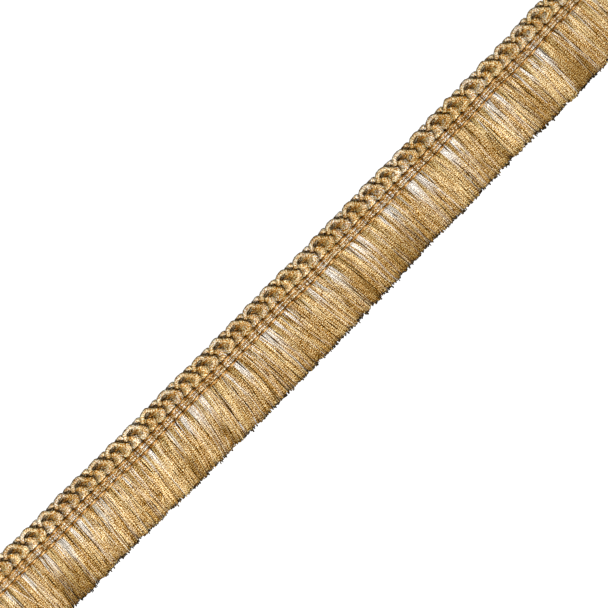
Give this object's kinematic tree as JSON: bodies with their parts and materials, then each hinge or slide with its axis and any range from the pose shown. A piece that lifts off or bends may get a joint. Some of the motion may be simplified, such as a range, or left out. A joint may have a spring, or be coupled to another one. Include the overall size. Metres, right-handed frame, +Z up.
{
  "type": "brush fringe",
  "caption": "Flat cut length of brush fringe: a skirt of cut yarn below a woven heading edged with looped gimp cords that make a scalloped top.",
  "frame": {"origin": "middle of the trim's bounding box, on the table that it lies on", "axes": "+X along the length of the trim, +Y towards the scalloped heading edge, +Z up out of its face"},
  "size_m": [0.3162, 0.0348, 0.0043],
  "materials": {
    "cord_yarn": "twisted glossy rayon cord",
    "binding_yarn": "fine twisted yarn, chain stitched",
    "band_yarn": "ribbed weave of twisted yarn",
    "skirt_yarn": "cut glossy rayon yarn, gold mixed with ivory"
  },
  "bodies": {
    "root": {"gimp_cord_front": "cord_yarn", "gimp_cord_rear": "cord_yarn", "binding_chain": "binding_yarn", "woven_band": "band_yarn", "skirt": "skirt_yarn"}
  },
  "joints": []
}
